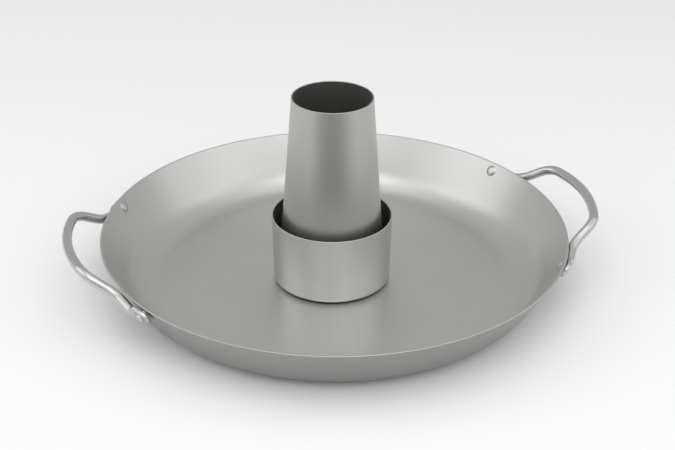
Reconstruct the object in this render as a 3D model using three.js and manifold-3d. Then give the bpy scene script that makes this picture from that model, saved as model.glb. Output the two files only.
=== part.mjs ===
// A steel roasting pan for a whole chicken: a wide shallow pan with two bent handles, each held by two
// rivets. A loose cup stands in the middle of the pan, and a loose hollow cone stands in the cup.
// Millimetres. The origin is the centre of the pan's underside, +Z is up and the handles lie along X.

import * as THREE from "three";
import { mergeVertices } from "three/addons/utils/BufferGeometryUtils.js";
import Module from "manifold-3d";

// ---- Driving dimensions ----

const RIM_RADIUS = 180; // outside of the rim
const PAN_HEIGHT = 43.5; // underside to rim
const PAN_SHEET = 1.5; // thickness of the pan's steel
const WALL_ANGLE = THREE.MathUtils.degToRad(59); // between the wall and the base
const BASE_CORNER_RADIUS = 32; // outside bend between base and wall

const CUP_TOP_RADIUS = 46.4; // outside
const CUP_BOTTOM_RADIUS = 45.3; // outside, above the bottom corner
const CUP_HEIGHT = 54.5;
const CUP_SHEET = 1;
const CUP_CORNER_RADIUS = 4; // outside

// The cup and cone stand loose, a little off the pan's centre.
const CUP_X = -2;
const CUP_Y = 0.5;

const CONE_TOP_RADIUS = 30.75; // outside
const CONE_BOTTOM_RADIUS = 41.9; // outside
const CONE_HEIGHT = 150.5;
const CONE_SHEET = 1;

const TUBE_RADIUS = 3.75; // of a handle's round stretch
const TAB_THICKNESS = 3.2;
const TAB_WIDTH = 13;
const TAB_LENGTH = 14; // from the rivet to where the tab is lost in the tube
const TAB_TIP = 2; // from the rivet the other way to the centre of the tab's round end
const TAB_GAP = 1.4; // between the wall and a tab
const TUBE_OVERLAP = 4; // how far the round tube runs over the tab

const RIVET_ANGLE = THREE.MathUtils.degToRad(27.8); // either side of a handle's middle
const RIVET_DROP = 6.5; // of the rivet's centre on the outside of the wall, below the rim
const SHANK_RADIUS = 2.3;
const HOLE_DEPTH = 12; // of the cut that makes a rivet's hole, right through the wall
const INNER_HEAD_RADIUS = 4.3;
const INNER_HEAD_HEIGHT = 1.3;
const OUTER_HEAD_RADIUS = 3.4;
const OUTER_HEAD_HEIGHT = 2.4;

const GAP = 0.3; // between pieces that rest on each other, and round a rivet's shank

// One end of a handle's centre line, from the tab to the middle: x outwards, y sideways, z up. A corner is
// rounded off over the given length on both of its sides, and the last one, in the middle, is a long bow.
const LEG_FOOT = { at: new THREE.Vector3(174.2, 57.5, 40.3), rounding: 7.9 };
const LEG_CORNER = { at: new THREE.Vector3(194.6, 47.7, 52.5), rounding: 10.9 };
const BOW_MIDDLE = { at: new THREE.Vector3(209.3, 0, 55), rounding: 38.9 };

// How finely the round shapes are faceted
const PAN_SEGMENTS = 72;
const CUP_SEGMENTS = 48;
const TUBE_SIDES = 12;
const TUBE_STEPS = 44;
const RIVET_SEGMENTS = 12;
const BASE_CORNER_STEPS = 5;
const CUP_CORNER_STEPS = 3;
const HEAD_STEPS = 3;

// ---- Solids ----

const wasm = await Module();
wasm.setup();

// A closed geometry as a solid that can be joined and cut.
function toSolid(geometry) {
  const bare = geometry.clone();
  bare.deleteAttribute("normal");
  bare.deleteAttribute("uv");
  const merged = mergeVertices(bare, 1e-3);
  return new wasm.Manifold(
    new wasm.Mesh({
      numProp: 3,
      vertProperties: merged.getAttribute("position").array,
      triVerts: new Uint32Array(merged.index.array),
    }),
  );
}

function toGeometry(solid) {
  const mesh = solid.getMesh();
  const geometry = new THREE.BufferGeometry();
  geometry.setAttribute("position", new THREE.BufferAttribute(mesh.vertProperties, 3));
  geometry.setIndex(new THREE.BufferAttribute(mesh.triVerts, 1));
  geometry.computeVertexNormals();
  return geometry;
}

// ---- Outlines ----

// Points along an arc, both ends included.
function arc(centreX, centreY, radius, from, to, steps) {
  const points = [];
  for (let i = 0; i <= steps; i += 1) {
    const angle = from + ((to - from) * i) / steps;
    points.push(
      new THREE.Vector2(centreX + radius * Math.cos(angle), centreY + radius * Math.sin(angle)),
    );
  }
  return points;
}

// A closed profile turned about Z. It runs outwards along the bottom and back along the top.
function turned(profile, segments) {
  return new THREE.LatheGeometry(profile, segments).rotateX(Math.PI / 2);
}

// ---- Pan ----

// Outside radius of the pan's wall at a height.
function wallRadius(height) {
  return RIM_RADIUS - (PAN_HEIGHT - height) / Math.tan(WALL_ANGLE);
}

// The bend between base and wall, on the outside or, one sheet further in, on the inside.
function baseCorner(inset) {
  const centreX = wallRadius(0) - BASE_CORNER_RADIUS * Math.tan(WALL_ANGLE / 2);
  const down = -Math.PI / 2;
  return arc(
    centreX,
    BASE_CORNER_RADIUS,
    BASE_CORNER_RADIUS - inset,
    down,
    down + WALL_ANGLE,
    BASE_CORNER_STEPS,
  );
}

function panGeometry() {
  const lipWidth = PAN_SHEET / Math.sin(WALL_ANGLE);
  const profile = [
    new THREE.Vector2(0, 0),
    ...baseCorner(0),
    new THREE.Vector2(RIM_RADIUS, PAN_HEIGHT),
    new THREE.Vector2(RIM_RADIUS - lipWidth, PAN_HEIGHT),
    ...baseCorner(PAN_SHEET).reverse(),
    new THREE.Vector2(0, PAN_SHEET),
  ];
  let pan = toSolid(turned(profile, PAN_SEGMENTS));
  for (const angle of rivetAngles()) {
    const hole = new THREE.CylinderGeometry(
      SHANK_RADIUS + GAP,
      SHANK_RADIUS + GAP,
      HOLE_DEPTH,
      RIVET_SEGMENTS,
    ).rotateX(Math.PI / 2);
    pan = pan.subtract(toSolid(hole.applyMatrix4(wallFrame(angle))));
  }
  return toGeometry(pan);
}

// ---- Handles and rivets ----

// The rivets' directions from the pan's centre, the right handle's two first.
function rivetAngles() {
  return [-RIVET_ANGLE, RIVET_ANGLE, Math.PI - RIVET_ANGLE, Math.PI + RIVET_ANGLE];
}

// A frame on the outside of the wall at a rivet: x sideways round the pan, y up the wall, z outwards.
function wallFrame(angle) {
  const height = PAN_HEIGHT - RIVET_DROP;
  const radius = wallRadius(height);
  const outwards = new THREE.Vector3(
    Math.sin(WALL_ANGLE) * Math.cos(angle),
    Math.sin(WALL_ANGLE) * Math.sin(angle),
    -Math.cos(WALL_ANGLE),
  );
  const sideways = new THREE.Vector3(-Math.sin(angle), Math.cos(angle), 0);
  const upTheWall = new THREE.Vector3().crossVectors(outwards, sideways);
  return new THREE.Matrix4()
    .makeBasis(sideways, upTheWall, outwards)
    .setPosition(radius * Math.cos(angle), radius * Math.sin(angle), height);
}

// Straight stretches between corners that are rounded off.
function roundedPath(start, corners, end) {
  const path = new THREE.CurvePath();
  let from = start;
  corners.forEach((corner, index) => {
    const before = index > 0 ? corners[index - 1].at : start;
    const after = index < corners.length - 1 ? corners[index + 1].at : end;
    const into = new THREE.Vector3().subVectors(before, corner.at).setLength(corner.rounding);
    const out = new THREE.Vector3().subVectors(after, corner.at).setLength(corner.rounding);
    const bendStart = new THREE.Vector3().addVectors(corner.at, into);
    const bendEnd = new THREE.Vector3().addVectors(corner.at, out);
    path.add(new THREE.LineCurve3(from, bendStart));
    path.add(new THREE.QuadraticBezierCurve3(bendStart, corner.at, bendEnd));
    from = bendEnd;
  });
  path.add(new THREE.LineCurve3(from, end));
  return path;
}

function mirrored(corner) {
  return { at: corner.at.clone().setY(-corner.at.y), rounding: corner.rounding };
}

// A flattened end of a handle in its rivet's wall frame: a round end just beyond the rivet hole, and then
// straight edges towards the handle's middle. The side is 1 for the end with the larger angle, and -1 for the other.
function tabGeometry(side) {
  const half = TAB_WIDTH / 2;
  const outline = new THREE.Shape();
  outline.absarc(-TAB_TIP, 0, half, Math.PI / 2, (3 * Math.PI) / 2);
  outline.lineTo(TAB_LENGTH, -half);
  outline.lineTo(TAB_LENGTH, half);
  const hole = new THREE.Path();
  hole.absarc(0, 0, SHANK_RADIUS + GAP, 0, 2 * Math.PI, true);
  outline.holes.push(hole);
  const tab = new THREE.ExtrudeGeometry(outline, {
    depth: TAB_THICKNESS,
    bevelEnabled: false,
    curveSegments: RIVET_SEGMENTS / 2,
  });
  tab.translate(0, 0, TAB_GAP);
  return side > 0 ? tab.rotateZ(Math.PI) : tab;
}

// The right handle; the left one is the same, turned half round.
function handleGeometry() {
  const tubeHeight = TAB_GAP + TUBE_RADIUS;
  const tubeStart = TAB_LENGTH - TUBE_OVERLAP;
  const firstEnd = new THREE.Vector3(-tubeStart, 0, tubeHeight).applyMatrix4(wallFrame(RIVET_ANGLE));
  const lastEnd = firstEnd.clone().setY(-firstEnd.y);
  const path = roundedPath(
    firstEnd,
    [LEG_FOOT, LEG_CORNER, BOW_MIDDLE, mirrored(LEG_CORNER), mirrored(LEG_FOOT)],
    lastEnd,
  );
  const section = new THREE.Shape(arc(0, 0, TUBE_RADIUS, 0, 2 * Math.PI, TUBE_SIDES).slice(0, -1));
  const tube = new THREE.ExtrudeGeometry(section, { steps: TUBE_STEPS, extrudePath: path });
  let handle = toSolid(tube);
  for (const side of [-1, 1]) {
    const tab = tabGeometry(side).applyMatrix4(wallFrame(side * RIVET_ANGLE));
    handle = handle.add(toSolid(tab));
  }
  return toGeometry(handle);
}

// A rivet along Z, with its low round head inside the pan and its taller one on the outside of the tab.
function rivetGeometry() {
  const innerSeat = -PAN_SHEET - GAP;
  const outerSeat = TAB_GAP + TAB_THICKNESS + GAP;
  const innerHead = domeProfile(INNER_HEAD_RADIUS, INNER_HEAD_HEIGHT)
    .map(([radius, rise]) => new THREE.Vector2(radius, innerSeat - rise))
    .reverse();
  const outerHead = domeProfile(OUTER_HEAD_RADIUS, OUTER_HEAD_HEIGHT).map(
    ([radius, rise]) => new THREE.Vector2(radius, outerSeat + rise),
  );
  const profile = [
    ...innerHead,
    new THREE.Vector2(SHANK_RADIUS, innerSeat),
    new THREE.Vector2(SHANK_RADIUS, outerSeat),
    ...outerHead,
  ];
  return turned(profile, RIVET_SEGMENTS);
}

// A round head from its edge to its top, as radius and rise above its seat.
function domeProfile(radius, height) {
  const points = [];
  for (let i = 0; i <= HEAD_STEPS; i += 1) {
    const angle = (Math.PI / 2) * (i / HEAD_STEPS);
    points.push([i === HEAD_STEPS ? 0 : radius * Math.cos(angle), height * Math.sin(angle)]);
  }
  return points;
}

// ---- Cup and cone ----

function cupCorner(inset) {
  const centreX = CUP_BOTTOM_RADIUS - CUP_CORNER_RADIUS;
  return arc(
    centreX,
    CUP_CORNER_RADIUS,
    CUP_CORNER_RADIUS - inset,
    -Math.PI / 2,
    0,
    CUP_CORNER_STEPS,
  );
}

function cupGeometry() {
  const profile = [
    new THREE.Vector2(0, 0),
    ...cupCorner(0),
    new THREE.Vector2(CUP_TOP_RADIUS, CUP_HEIGHT),
    new THREE.Vector2(CUP_TOP_RADIUS - CUP_SHEET, CUP_HEIGHT),
    ...cupCorner(CUP_SHEET).reverse(),
    new THREE.Vector2(0, CUP_SHEET),
  ];
  return turned(profile, CUP_SEGMENTS);
}

function coneGeometry() {
  const bottomOutside = new THREE.Vector2(CONE_BOTTOM_RADIUS, 0);
  const profile = [
    bottomOutside,
    new THREE.Vector2(CONE_TOP_RADIUS, CONE_HEIGHT),
    new THREE.Vector2(CONE_TOP_RADIUS - CONE_SHEET, CONE_HEIGHT),
    new THREE.Vector2(CONE_BOTTOM_RADIUS - CONE_SHEET, 0),
    bottomOutside.clone(),
  ];
  return turned(profile, CUP_SEGMENTS);
}

// ---- Assembly ----

function steelMesh(name, geometry, color, roughness) {
  const mesh = new THREE.Mesh(
    geometry,
    new THREE.MeshStandardMaterial({ color, roughness, metalness: 1 }),
  );
  mesh.name = name;
  return mesh;
}

const roaster = new THREE.Group();

roaster.add(steelMesh("pan_shell", panGeometry(), "#a9aaa7", 0.45));

const handleShape = handleGeometry();
const rightHandle = steelMesh("handle_right", handleShape, "#b4b4b2", 0.22);
const leftHandle = steelMesh("handle_left", handleShape, "#b4b4b2", 0.22);
leftHandle.rotation.z = Math.PI;
roaster.add(rightHandle, leftHandle);

const rivetNames = [
  "rivet_right_front",
  "rivet_right_back",
  "rivet_left_back",
  "rivet_left_front",
];
const rivetShape = rivetGeometry();
rivetAngles().forEach((angle, index) => {
  const rivet = steelMesh(rivetNames[index], rivetShape, "#c2c2bf", 0.25);
  rivet.applyMatrix4(wallFrame(angle));
  roaster.add(rivet);
});

const cup = steelMesh("cup", cupGeometry(), "#a6a7a3", 0.35);
cup.position.set(CUP_X, CUP_Y, PAN_SHEET + GAP);
roaster.add(cup);

const cone = steelMesh("cone", coneGeometry(), "#9c9d98", 0.5);
cone.position.set(CUP_X, CUP_Y, cup.position.z + CUP_SHEET + GAP);
roaster.add(cone);

export default roaster;
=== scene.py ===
import math

import bmesh
import bpy
from mathutils import Matrix, Vector


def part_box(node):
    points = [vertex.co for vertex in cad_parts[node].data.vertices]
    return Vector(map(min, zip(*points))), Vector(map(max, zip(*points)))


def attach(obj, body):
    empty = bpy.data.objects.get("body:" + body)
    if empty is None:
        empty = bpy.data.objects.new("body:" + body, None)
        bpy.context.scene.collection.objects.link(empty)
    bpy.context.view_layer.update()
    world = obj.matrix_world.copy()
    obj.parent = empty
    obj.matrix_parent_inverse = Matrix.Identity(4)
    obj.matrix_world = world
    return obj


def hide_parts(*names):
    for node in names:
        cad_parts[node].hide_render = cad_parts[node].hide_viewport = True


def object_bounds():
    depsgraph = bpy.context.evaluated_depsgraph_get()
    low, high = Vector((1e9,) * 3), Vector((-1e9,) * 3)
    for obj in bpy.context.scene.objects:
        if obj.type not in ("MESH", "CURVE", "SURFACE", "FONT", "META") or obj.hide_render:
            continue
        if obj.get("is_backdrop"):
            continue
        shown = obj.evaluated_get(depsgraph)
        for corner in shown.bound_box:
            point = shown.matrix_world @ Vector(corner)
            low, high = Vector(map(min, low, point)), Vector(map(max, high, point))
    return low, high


# A steel roasting pan for a whole chicken, with a loose cup and a loose cone standing in it, on a pale
# floor. Metres, in the frame of the CAD model: the origin is the centre of the pan's underside, +Z is up
# and the handles lie along X.

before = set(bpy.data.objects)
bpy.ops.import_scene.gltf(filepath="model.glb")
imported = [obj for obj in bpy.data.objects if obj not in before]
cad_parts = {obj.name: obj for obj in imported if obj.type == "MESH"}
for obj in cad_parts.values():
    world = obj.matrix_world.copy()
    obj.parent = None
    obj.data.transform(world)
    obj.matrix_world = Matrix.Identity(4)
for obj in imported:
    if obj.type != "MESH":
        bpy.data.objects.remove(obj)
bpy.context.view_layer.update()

MM = 0.001

# ---- Sizes ----

RIM_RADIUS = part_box("pan_shell")[1].x
PAN_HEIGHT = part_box("pan_shell")[1].z
PAN_SHEET = 1.5 * MM
WALL_ANGLE = math.radians(59)
BASE_CORNER_RADIUS = 32 * MM

CUP_SHEET = 1 * MM
CUP_TAPER = 1.1 * MM  # how much smaller the cup's radius is at its bottom
CUP_CORNER_RADIUS = 4 * MM

CONE_SHEET = 1 * MM
CONE_TOP_RADIUS = 30.75 * MM

EDGE_RADIUS = 0.3 * MM  # on the cut edges of the sheets
BEND_HOLD = 0.25 * MM  # from an arc's end to the extra point outside it

PAN_SEGMENTS = 288
CUP_SEGMENTS = 192

TUBE_RADIUS = 3.75 * MM
TAB_THICKNESS = 3.2 * MM
TAB_WIDTH = 13 * MM
TAB_TIP = 2 * MM  # from the rivet to the centre of the tab's round end
TAB_EDGE_RADIUS = 1.1 * MM
TAB_GAP = 1.4 * MM
TUBE_START = 10 * MM  # from the rivet to where the bent centre line starts
FLAT_END = 5.8 * MM  # from the rivet to where the flat tab starts to swell
ROUND_START = 12 * MM  # from the rivet to where the tube is round
TUBE_STEP = 1.2 * MM
BEND_STEPS = 40
TAB_STEPS = 15  # over the tab's round end, and again over its straight part
TIP_START = math.radians(1.72)  # round the tab's end, from its tip to its first section
TIP_SHARE = 0.97  # of a quarter turn, from the first section to the last one of the round end
TIP_HALF_WIDTH = 0.05 * MM  # at the least, of a section near the tip

RIVET_ANGLE = math.radians(27.8)
RIVET_DROP = 6.5 * MM
SHANK_RADIUS = 2.3 * MM
HOLE_RADIUS = 2.6 * MM
INNER_HEAD_RADIUS = 4.3 * MM
INNER_HEAD_HEIGHT = 1.3 * MM
OUTER_HEAD_RADIUS = 3.4 * MM
OUTER_HEAD_HEIGHT = 2.4 * MM
RIVET_SEAT = 0.06 * MM  # between a head and what it holds
RIVET_EDGE = 0.1 * MM
RIVET_SEGMENTS = 40
HOLE_SEGMENTS = 32
HOLE_REACH = 6 * MM  # of a hole's cutter to both sides of the wall

# One half of the right handle's centre line, from its tab to its middle, as corners that are rounded off
# over the given length on both of their sides.
LEG_FOOT = (Vector((174.2, 57.5, 40.3)) * MM, 7.9 * MM)
LEG_CORNER = (Vector((194.6, 47.7, 52.5)) * MM, 10.9 * MM)
BOW_MIDDLE = (Vector((209.3, 0, 55)) * MM, 38.9 * MM)


# ---- Meshes ----


def piece(name, mesh, material, body, node, matrix=Matrix()):
    """A finished mesh as a piece that stands for a CAD node and moves with its body."""
    mesh.materials.append(material)
    obj = bpy.data.objects.new(name, mesh)
    bpy.context.scene.collection.objects.link(obj)
    obj.matrix_world = matrix
    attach(obj, body)
    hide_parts(node)


def finished(name, bm, sharp_angle=40):
    """A bmesh as a smoothly shaded mesh with its outside outwards, and with its sharp edges kept sharp."""
    bmesh.ops.recalc_face_normals(bm, faces=bm.faces)
    for face in bm.faces:
        face.smooth = True
    for edge in bm.edges:
        if len(edge.link_faces) == 2:
            edge.smooth = edge.calc_face_angle() < math.radians(sharp_angle)
    mesh = bpy.data.meshes.new(name)
    bm.to_mesh(mesh)
    bm.free()
    return mesh


def rounded(corners, closed, step=math.radians(9)):
    """The line through (x, y, radius) corners, each rounded off with an arc. A point close outside each
    end of an arc keeps the shading of the straight stretches even."""
    points = []
    count = len(corners)
    for i, (x, y, radius) in enumerate(corners):
        here = Vector((x, y))
        if radius == 0 or (not closed and i in (0, count - 1)):
            points.append(here)
            continue
        before = (Vector(corners[i - 1][:2]) - here).normalized()
        after = (Vector(corners[(i + 1) % count][:2]) - here).normalized()
        half = before.angle(after) / 2
        reach = radius / math.tan(half)
        centre = here + (before + after).normalized() * radius / math.sin(half)
        start = here + before * reach - centre
        turn = math.pi - 2 * half
        if before.x * after.y - before.y * after.x > 0:
            turn = -turn
        steps = max(4, math.ceil(abs(turn) / step))
        points.append(here + before * (reach + BEND_HOLD))
        for k in range(steps + 1):
            angle = turn * k / steps
            c, s = math.cos(angle), math.sin(angle)
            points.append(centre + Vector((start.x * c - start.y * s, start.x * s + start.y * c)))
        points.append(here + after * (reach + BEND_HOLD))
    return points


def turned(profile, segments, closed=False):
    """A bmesh of a profile of (radius, height) points turned about Z."""
    bm = bmesh.new()
    rings = []
    for radius, height in profile:
        if radius < 1e-9:
            rings.append([bm.verts.new((0, 0, height))])
            continue
        ring = []
        for k in range(segments):
            angle = 2 * math.pi * k / segments
            ring.append(bm.verts.new((radius * math.cos(angle), radius * math.sin(angle), height)))
        rings.append(ring)
    pairs = list(zip(rings, rings[1:]))
    if closed:
        pairs.append((rings[-1], rings[0]))
    for a, b in pairs:
        for k in range(segments):
            n = (k + 1) % segments
            corners = [a[k % len(a)], a[n % len(a)], b[n % len(b)], b[k % len(b)]]
            bm.faces.new(list(dict.fromkeys(corners)))
    return bm


def wall_frame(angle):
    """The frame on the wall's outside at a rivet: x sideways round the pan, y up the wall, z outwards."""
    height = PAN_HEIGHT - RIVET_DROP
    radius = RIM_RADIUS - RIVET_DROP / math.tan(WALL_ANGLE)
    outwards = Vector((math.cos(angle), math.sin(angle), 0)) * math.sin(WALL_ANGLE)
    outwards.z = -math.cos(WALL_ANGLE)
    sideways = Vector((-math.sin(angle), math.cos(angle), 0))
    up_the_wall = outwards.cross(sideways)
    rotation = Matrix((sideways, up_the_wall, outwards)).transposed().to_4x4()
    place = Vector((radius * math.cos(angle), radius * math.sin(angle), height))
    return Matrix.Translation(place) @ rotation


def with_holes(bm, angles):
    """The bmesh with a rivet hole cut right through it at each angle round the pan."""
    whole = bpy.data.objects.new("whole", finished("whole", bm))
    bpy.context.scene.collection.objects.link(whole)
    cutters = []
    for angle in angles:
        outline = [(0, -HOLE_REACH), (HOLE_RADIUS, -HOLE_REACH), (HOLE_RADIUS, HOLE_REACH), (0, HOLE_REACH)]
        cutter = bpy.data.objects.new("cutter", finished("cutter", turned(outline, HOLE_SEGMENTS)))
        bpy.context.scene.collection.objects.link(cutter)
        cutter.matrix_world = wall_frame(angle)
        cutters.append(cutter)
        cut = whole.modifiers.new("cut", "BOOLEAN")
        cut.operation = "DIFFERENCE"
        cut.solver = "EXACT"
        cut.object = cutter
    bpy.context.view_layer.update()
    evaluated = whole.evaluated_get(bpy.context.evaluated_depsgraph_get())
    result = bmesh.new()
    result.from_mesh(evaluated.to_mesh())
    evaluated.to_mesh_clear()
    for obj in [whole, *cutters]:
        mesh = obj.data
        bpy.data.objects.remove(obj)
        bpy.data.meshes.remove(mesh)
    return result


# ---- Pan, cup and cone ----


def pan_mesh():
    lip = PAN_SHEET / math.sin(WALL_ANGLE)
    foot = RIM_RADIUS - PAN_HEIGHT / math.tan(WALL_ANGLE)
    inner_foot = foot - lip + PAN_SHEET / math.tan(WALL_ANGLE)
    profile = rounded(
        [
            (0, 0, 0),
            (foot, 0, BASE_CORNER_RADIUS),
            (RIM_RADIUS, PAN_HEIGHT, EDGE_RADIUS),
            (RIM_RADIUS - lip, PAN_HEIGHT, EDGE_RADIUS),
            (inner_foot, PAN_SHEET, BASE_CORNER_RADIUS - PAN_SHEET),
            (0, PAN_SHEET, 0),
        ],
        closed=False,
        step=math.radians(4),
    )
    angles = [-RIVET_ANGLE, RIVET_ANGLE, math.pi - RIVET_ANGLE, math.pi + RIVET_ANGLE]
    return finished("pan_body", with_holes(turned(profile, PAN_SEGMENTS), angles))


def cup_mesh(height, top_radius):
    bottom_radius = top_radius - CUP_TAPER
    profile = rounded(
        [
            (0, 0, 0),
            (bottom_radius, 0, CUP_CORNER_RADIUS),
            (top_radius, height, EDGE_RADIUS),
            (top_radius - CUP_SHEET, height, EDGE_RADIUS),
            (bottom_radius - CUP_SHEET, CUP_SHEET, CUP_CORNER_RADIUS - CUP_SHEET),
            (0, CUP_SHEET, 0),
        ],
        closed=False,
    )
    return finished("cup_body", turned(profile, CUP_SEGMENTS))


def cone_mesh(height, bottom_radius):
    profile = rounded(
        [
            (bottom_radius, 0, EDGE_RADIUS),
            (CONE_TOP_RADIUS, height, EDGE_RADIUS),
            (CONE_TOP_RADIUS - CONE_SHEET, height, EDGE_RADIUS),
            (bottom_radius - CONE_SHEET, 0, EDGE_RADIUS),
        ],
        closed=True,
    )
    return finished("cone_body", turned(profile, CUP_SEGMENTS, closed=True))


# ---- Handles ----


def smooth_step(value, low, high):
    t = min(1, max(0, (value - low) / (high - low)))
    return t * t * (3 - 2 * t)


def mirrored(point):
    """A point of the right handle's one half as a point of its other half."""
    return Vector((point.x, -point.y, point.z))


def half_centre_line():
    """Evenly spaced points of the bent centre line from the start of the tube to the handle's middle."""
    start = wall_frame(RIVET_ANGLE) @ Vector((-TUBE_START, 0, TAB_GAP + TUBE_RADIUS))
    corners = [LEG_FOOT, LEG_CORNER, BOW_MIDDLE]
    stops = [start, *(at for at, _ in corners), mirrored(LEG_CORNER[0])]
    line = [start]
    for i, (at, rounding) in enumerate(corners):
        into = at + (stops[i] - at).normalized() * rounding
        out = at + (stops[i + 2] - at).normalized() * rounding
        last_bend = i == len(corners) - 1
        for k in range(BEND_STEPS + 1):
            t = k / BEND_STEPS * (0.5 if last_bend else 1)
            line.append(into * (1 - t) ** 2 + at * 2 * t * (1 - t) + out * t * t)
    return spaced(line, TUBE_STEP)


def spaced(line, spacing):
    """A line's points at equal distances, both ends included."""
    lengths = [0]
    for a, b in zip(line, line[1:]):
        lengths.append(lengths[-1] + (b - a).length)
    count = math.ceil(lengths[-1] / spacing)
    points = []
    k = 0
    for i in range(count + 1):
        at = lengths[-1] * i / count
        while k < len(line) - 2 and lengths[k + 1] < at:
            k += 1
        span = lengths[k + 1] - lengths[k]
        points.append(line[k].lerp(line[k + 1], (at - lengths[k]) / span if span > 0 else 0))
    return points


def section(half_width, half_thickness, corner, per_corner=8):
    """A rounded rectangle, or a circle where the corner radius is the whole half width."""
    points = []
    for quarter in range(4):
        sx = 1 if quarter in (0, 3) else -1
        sy = 1 if quarter in (0, 1) else -1
        for k in range(per_corner):
            angle = math.pi / 2 * (quarter + (k + 0.5) / per_corner)
            x = sx * (half_width - corner) + corner * math.cos(angle)
            y = sy * (half_thickness - corner) + corner * math.sin(angle)
            points.append((x, y))
    return points


def handle_stations():
    """(centre on the tube's line, distance from the rivet) from the tab's tip to the handle's middle."""
    at_rivet = wall_frame(RIVET_ANGLE)
    height = TAB_GAP + TUBE_RADIUS
    stations = []
    distances = []
    for k in range(TAB_STEPS):
        angle = TIP_START + math.pi / 2 * TIP_SHARE * k / (TAB_STEPS - 1)
        distances.append(-TAB_TIP - TAB_WIDTH / 2 * math.cos(angle))
    for k in range(TAB_STEPS):
        distances.append((TUBE_START + TAB_TIP) * k / TAB_STEPS - TAB_TIP)
    for distance in distances:
        stations.append((at_rivet @ Vector((-distance, 0, height)), distance))
    distance = TUBE_START
    line = half_centre_line()
    for k, point in enumerate(line):
        if k:
            distance += (point - line[k - 1]).length
        stations.append((point, distance))
    return stations


def handle_mesh(name):
    """The right handle: a bent round rod with both ends flattened into tabs with round ends."""
    stations = handle_stations()
    thickness_way = wall_frame(RIVET_ANGLE).to_3x3() @ Vector((0, 0, 1))
    bm = bmesh.new()
    rings = []
    for i, (centre, distance) in enumerate(stations):
        if i + 1 < len(stations):
            along = (stations[i + 1][0] - stations[max(i - 1, 0)][0]).normalized()
        else:
            along = Vector((0, -1, 0))
        thickness_way = (thickness_way - along * thickness_way.dot(along)).normalized()
        width_way = along.cross(thickness_way)
        swell = smooth_step(distance, FLAT_END, ROUND_START)
        half_width = TAB_WIDTH / 2 + (TUBE_RADIUS - TAB_WIDTH / 2) * swell
        half_thickness = TAB_THICKNESS / 2 + (TUBE_RADIUS - TAB_THICKNESS / 2) * swell
        corner = TAB_EDGE_RADIUS + (TUBE_RADIUS - TAB_EDGE_RADIUS) * swell
        middle = centre - thickness_way * (TUBE_RADIUS - half_thickness)
        past = -distance - TAB_TIP
        if past > 0:
            across = math.sqrt(max(0, (TAB_WIDTH / 2) ** 2 - past**2))
            half_width = max(across, TIP_HALF_WIDTH)
            rim = max(0, TAB_WIDTH / 2 - past)
            if rim < TAB_EDGE_RADIUS:
                inset = TAB_EDGE_RADIUS - math.sqrt(TAB_EDGE_RADIUS**2 - (TAB_EDGE_RADIUS - rim) ** 2)
                half_thickness -= inset
            corner = min(corner, half_width, half_thickness)
        ring = []
        for x, y in section(half_width, half_thickness, corner):
            ring.append(middle + width_way * x + thickness_way * y)
        rings.append(ring)
    for ring in reversed(rings[:-1]):
        rings.append([mirrored(point) for point in ring])
    made = [[bm.verts.new(point) for point in ring] for ring in rings]
    for a, b in zip(made, made[1:]):
        for k in range(len(a)):
            n = (k + 1) % len(a)
            bm.faces.new((a[k], a[n], b[n], b[k]))
    bm.faces.new(made[0])
    bm.faces.new(made[-1])
    return finished(name, with_holes(bm, [-RIVET_ANGLE, RIVET_ANGLE]))


# ---- Rivets ----


def rivet_mesh(name):
    """A rivet along Z in its wall frame: a low round head inside the pan, and a button outside the tab."""
    inner = -PAN_SHEET - RIVET_SEAT
    outer = TAB_GAP + TAB_THICKNESS + RIVET_SEAT
    profile = rounded(
        [
            (0, inner - INNER_HEAD_HEIGHT, 0),
            (INNER_HEAD_RADIUS * 0.72, inner - INNER_HEAD_HEIGHT * 0.97, INNER_HEAD_RADIUS * 1.3),
            (INNER_HEAD_RADIUS, inner - INNER_HEAD_HEIGHT * 0.14, INNER_HEAD_RADIUS * 0.05),
            (INNER_HEAD_RADIUS, inner, RIVET_EDGE),
            (SHANK_RADIUS, inner, 0),
            (SHANK_RADIUS, outer, 0),
            (OUTER_HEAD_RADIUS, outer, RIVET_EDGE),
            (OUTER_HEAD_RADIUS * 0.97, outer + OUTER_HEAD_HEIGHT, OUTER_HEAD_RADIUS * 0.5),
            (0, outer + OUTER_HEAD_HEIGHT, 0),
        ],
        closed=False,
    )
    return finished(name, turned(profile, RIVET_SEGMENTS))


# ---- Materials ----

# Scales of the noise, over a metre or, for a spread, over the unit vector of a direction round Z.
GRAIN_SCALE = 1400.0
CLOUD_SCALE = 22.0
RING_SCALE = 1100.0
RING_SPREAD = 3
UPRIGHT_SCALE = 30
UPRIGHT_SPREAD = 45
POLISH_SCALE = 260

# How much the brushing's lines and the grain change the colour and the roughness.
LINE_TINT = 0.05
LINE_ROUGHNESS = 0.10
GRAIN_ROUGHNESS = 0.06


def add(tree, kind, inputs=None, **settings):
    """A new node. Its inputs are given by name or index, as numbers or as other nodes' outputs."""
    node = tree.nodes.new(kind)
    for key, value in settings.items():
        setattr(node, key, value)
    for key, value in (inputs or {}).items():
        if isinstance(value, bpy.types.NodeSocket):
            tree.links.new(value, node.inputs[key])
        else:
            node.inputs[key].default_value = value
    return node


def maths(tree, operation, *values):
    return add(tree, "ShaderNodeMath", dict(enumerate(values)), operation=operation).outputs[0]


def noise(tree, vector, scale, detail=2.0, roughness=0.5):
    inputs = {"Vector": vector, "Scale": scale, "Detail": detail, "Roughness": roughness}
    return add(tree, "ShaderNodeTexNoise", inputs).outputs["Fac"]


def grey(tree, value):
    return add(tree, "ShaderNodeCombineXYZ", {0: value, 1: value, 2: value}).outputs["Vector"]


def stretched(tree, vector, x, y, z):
    node = add(tree, "ShaderNodeVectorMath", {0: vector, 1: (x, y, z)}, operation="MULTIPLY")
    return node.outputs["Vector"]


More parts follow.
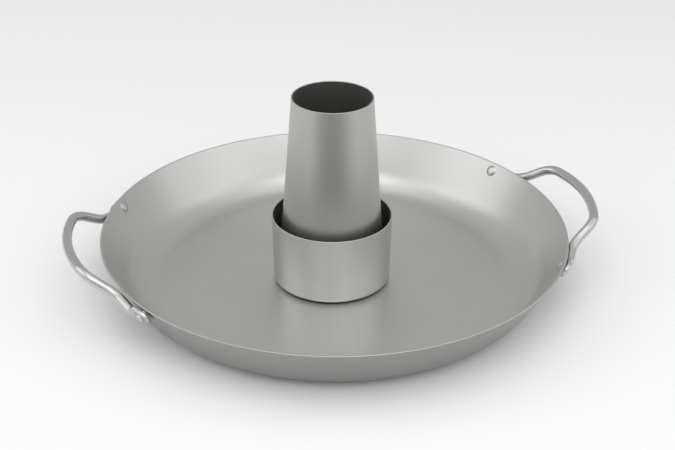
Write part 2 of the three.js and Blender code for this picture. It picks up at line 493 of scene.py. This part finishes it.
def both(tree, one, other):
    return add(tree, "ShaderNodeVectorMath", {0: one, 1: other}, operation="ADD").outputs["Vector"]


def polar(tree, coordinates):
    """Radius, and the direction round Z as a unit vector, which has no seam."""
    flat = stretched(tree, coordinates, 1, 1, 0)
    radius = add(tree, "ShaderNodeVectorMath", {0: flat}, operation="LENGTH").outputs["Value"]
    direction = add(tree, "ShaderNodeVectorMath", {0: flat}, operation="NORMALIZE").outputs["Vector"]
    return radius, direction


def steel(name, colour, roughness, streaks, streak_depth, grain_depth, cloudiness, painted_underside_shade=1.0):
    """Satin steel. streaks(tree, coordinates) gives the vector along which the brushing's fine lines vary.
    Faces that point downwards get painted shade: their colour is darkened by the last factor."""
    material = bpy.data.materials.new(name)
    material.use_nodes = True
    tree = material.node_tree
    shader = tree.nodes["Principled BSDF"]
    place = add(tree, "ShaderNodeTexCoord")
    coordinates = place.outputs["Object"]
    lines = noise(tree, streaks(tree, coordinates), 1.0, 3.0, 0.6)
    grain = noise(tree, coordinates, GRAIN_SCALE, 2.0, 0.7)
    clouds = noise(tree, coordinates, CLOUD_SCALE, 3.0, 0.55)

    tint = maths(tree, "MULTIPLY_ADD", clouds, cloudiness, 1 - cloudiness / 2)
    tint = maths(tree, "MULTIPLY_ADD", lines, LINE_TINT, maths(tree, "SUBTRACT", tint, LINE_TINT / 2))
    # Painted shade: the colour of faces that point downwards is darkened.
    if painted_underside_shade < 1:
        facing = add(tree, "ShaderNodeSeparateXYZ", {0: place.outputs["Normal"]}).outputs["Z"]
        painted_shade_mask = maths(tree, "LESS_THAN", facing, -0.2)
        tint = maths(tree, "MULTIPLY", tint, maths(tree, "MULTIPLY_ADD", painted_shade_mask, painted_underside_shade - 1, 1.0))
    base = add(tree, "ShaderNodeVectorMath", {0: colour, 1: grey(tree, tint)}, operation="MULTIPLY")
    tree.links.new(base.outputs["Vector"], shader.inputs["Base Color"])

    rough = maths(tree, "MULTIPLY_ADD", lines, LINE_ROUGHNESS, roughness - LINE_ROUGHNESS / 2)
    rough = maths(tree, "SUBTRACT", rough, GRAIN_ROUGHNESS / 2)
    rough = maths(tree, "MULTIPLY_ADD", grain, GRAIN_ROUGHNESS, rough)
    tree.links.new(rough, shader.inputs["Roughness"])

    height = maths(tree, "MULTIPLY", lines, streak_depth)
    height = maths(tree, "MULTIPLY_ADD", grain, grain_depth, height)
    bump = add(tree, "ShaderNodeBump", {"Height": height, "Distance": 1.0, "Strength": 1.0})
    tree.links.new(bump.outputs["Normal"], shader.inputs["Normal"])
    shader.inputs["Metallic"].default_value = 1.0
    return material


def rings_round(tree, coordinates):
    """Fine lines round Z, as turning and polishing leave them on a round sheet."""
    radius, direction = polar(tree, coordinates)
    height = add(tree, "ShaderNodeSeparateXYZ", {0: coordinates}).outputs["Z"]
    out = maths(tree, "ADD", radius, height)
    spread = stretched(tree, direction, RING_SPREAD, RING_SPREAD, 0)
    line = add(tree, "ShaderNodeCombineXYZ", {0: 0.0, 1: 0.0, 2: maths(tree, "MULTIPLY", out, RING_SCALE)})
    return both(tree, spread, line.outputs["Vector"])


def lines_up(tree, coordinates):
    """Fine upright lines, as on a sheet that was brushed before it was rolled up."""
    _, direction = polar(tree, coordinates)
    height = stretched(tree, coordinates, 0, 0, UPRIGHT_SCALE)
    spread = stretched(tree, direction, UPRIGHT_SPREAD, UPRIGHT_SPREAD, 0)
    return both(tree, spread, height)


def cloudy(tree, coordinates):
    """No direction: the soft unevenness of a polished surface."""
    return stretched(tree, coordinates, POLISH_SCALE, POLISH_SCALE, POLISH_SCALE)


def floor_material():
    material = bpy.data.materials.new("floor")
    material.use_nodes = True
    tree = material.node_tree
    shader = tree.nodes["Principled BSDF"]
    coordinates = add(tree, "ShaderNodeTexCoord").outputs["Object"]
    clouds = noise(tree, coordinates, 3.0)
    value = maths(tree, "MULTIPLY_ADD", clouds, 0.01, 0.915)
    tree.links.new(grey(tree, value), shader.inputs["Base Color"])
    shader.inputs["Roughness"].default_value = 0.9
    shader.inputs["Specular IOR Level"].default_value = 0.1
    return material


# The pan's outer wall and underside face downwards and get painted shade, a colour 0.63 times as bright.
pan_steel = steel("pan_metal", (0.60, 0.60, 0.59), 0.36, rings_round, 3e-6, 6e-6, 0.06, painted_underside_shade=0.63)
cup_steel = steel("cup_metal", (0.60, 0.60, 0.585), 0.34, lines_up, 3e-6, 5e-6, 0.05)
cone_steel = steel("cone_metal", (0.505, 0.505, 0.49), 0.40, lines_up, 3e-6, 6e-6, 0.06)
handle_steel = steel("handle_metal", (0.57, 0.57, 0.565), 0.23, cloudy, 3e-6, 1e-6, 0.05)
rivet_steel = steel("rivet_metal", (0.62, 0.62, 0.61), 0.34, cloudy, 4e-6, 2e-6, 0.05)

# ---- Object ----

piece("pan_body", pan_mesh(), pan_steel, "pan", "pan_shell")

for side, turn in (("right", 0), ("left", math.pi)):
    name = side + "_handle"
    turned_round = Matrix.Rotation(turn, 4, "Z")
    piece(name, handle_mesh(name), handle_steel, "pan", "handle_" + side, turned_round)

RIVETS = {
    "rivet_right_front": -RIVET_ANGLE,
    "rivet_right_back": RIVET_ANGLE,
    "rivet_left_back": math.pi - RIVET_ANGLE,
    "rivet_left_front": math.pi + RIVET_ANGLE,
}
for node, angle in RIVETS.items():
    name = node.replace("rivet_", "") + "_rivet"
    piece(name, rivet_mesh(name), rivet_steel, "pan", node, wall_frame(angle))

for node, make, material in (("cup", cup_mesh, cup_steel), ("cone", cone_mesh, cone_steel)):
    low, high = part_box(node)
    centre = Vector(((low.x + high.x) / 2, (low.y + high.y) / 2, low.z))
    mesh = make(high.z - low.z, (high.x - low.x) / 2)
    piece(node + "_body", mesh, material, node, node, Matrix.Translation(centre))

# ---- Floor, lights and camera ----

CAMERA_HEADING = math.radians(13.13)  # from +Y towards +X
CAMERA_PITCH = math.radians(28.235)  # downwards
CAMERA_ROLL = math.radians(0.419)
CAMERA_PLACE = Vector((-220.0, -953.05, 571.45)) * MM
CAMERA_LENS = 76.58  # on a sensor 36 wide

FLOOR_HALF_WIDTH = 20

CARD_HALF_WIDTH = 0.35
CARD_DISTANCE = 0.62  # in front of the pan's centre
CARD_HEIGHT = 0.002

LIGHT_DISTANCE = 1.8


def make_floor():
    bm = bmesh.new()
    bmesh.ops.create_grid(bm, x_segments=8, y_segments=8, size=FLOOR_HALF_WIDTH)
    floor = bpy.data.objects.new("floor", finished("floor", bm))
    floor.data.materials.append(floor_material())
    bpy.context.scene.collection.objects.link(floor)
    floor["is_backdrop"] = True


def make_dark_card():
    """A dark card on the floor in front of the object, as studios use to shape reflections in steel. Only
    the reflections show it: it isn't seen itself and casts no shadow."""
    material = bpy.data.materials.new("dark_card")
    material.use_nodes = True
    shader = material.node_tree.nodes["Principled BSDF"]
    shader.inputs["Base Color"].default_value = (0.15, 0.15, 0.15, 1)
    shader.inputs["Roughness"].default_value = 0.9
    bm = bmesh.new()
    bmesh.ops.create_grid(bm, x_segments=2, y_segments=2, size=CARD_HALF_WIDTH)
    card = bpy.data.objects.new("dark_card", finished("dark_card", bm))
    card.data.materials.append(material)
    in_front = Matrix.Translation((0, -CARD_DISTANCE, CARD_HEIGHT))
    card.matrix_world = Matrix.Rotation(-CAMERA_HEADING, 4, "Z") @ in_front
    card.visible_camera = False
    card.visible_diffuse = False
    card.visible_shadow = False
    bpy.context.scene.collection.objects.link(card)
    card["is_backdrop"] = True


def soft_box(name, azimuth, elevation, width, height, radiance):
    """A soft light aimed at the object, which isn't seen itself. The azimuth is 0 over the camera and grows
    towards the camera's right."""
    turn = math.radians(azimuth) - CAMERA_HEADING
    rise = math.radians(elevation)
    way = Vector((math.sin(turn) * math.cos(rise), -math.cos(turn) * math.cos(rise), math.sin(rise)))
    light = bpy.data.lights.new(name, "AREA")
    light.shape = "RECTANGLE"
    light.size = width
    light.size_y = height
    light.energy = math.pi * width * height * radiance
    obj = bpy.data.objects.new(name, light)
    aim = (-way).to_track_quat("-Z", "Y").to_matrix().to_4x4()
    obj.matrix_world = Matrix.Translation(way * LIGHT_DISTANCE) @ aim
    obj.visible_camera = False
    bpy.context.scene.collection.objects.link(obj)


def make_world(strength):
    world = bpy.data.worlds.new("studio")
    world.use_nodes = True
    background = world.node_tree.nodes["Background"]
    background.inputs["Color"].default_value = (1, 1, 0.99, 1)
    background.inputs["Strength"].default_value = strength
    bpy.context.scene.world = world


def make_camera():
    forward = Vector(
        (
            math.sin(CAMERA_HEADING) * math.cos(CAMERA_PITCH),
            math.cos(CAMERA_HEADING) * math.cos(CAMERA_PITCH),
            -math.sin(CAMERA_PITCH),
        )
    )
    right = forward.cross(Vector((0, 0, 1))).normalized()
    up = right.cross(forward)
    rotation = Matrix((right, up, -forward)).transposed() @ Matrix.Rotation(CAMERA_ROLL, 3, "Z")
    camera = bpy.data.cameras.new("camera")
    camera.lens = CAMERA_LENS
    camera.sensor_width = 36
    camera.clip_start = 0.01
    obj = bpy.data.objects.new("camera", camera)
    obj.matrix_world = Matrix.Translation(CAMERA_PLACE) @ rotation.to_4x4()
    bpy.context.scene.collection.objects.link(obj)
    bpy.context.scene.camera = obj


make_floor()
make_dark_card()
make_world(0.55)
soft_box("front_right_light", 40, 32, 1.7, 0.65, 1.00)
soft_box("front_left_light", -40, 32, 1.7, 0.65, 0.67)
soft_box("front_light", 0, 32, 0.7, 0.65, 0.53)
soft_box("front_high_light", 0, 62, 1.6, 1.2, 1.29)
soft_box("right_light", 88, 35, 1.2, 1.6, 0.55)
soft_box("left_light", -88, 35, 1.2, 1.6, 0.86)
soft_box("top_light", 180, 86, 1.5, 1.3, 0.50)
make_camera()
bpy.context.scene.view_settings.view_transform = "Standard"

low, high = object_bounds()
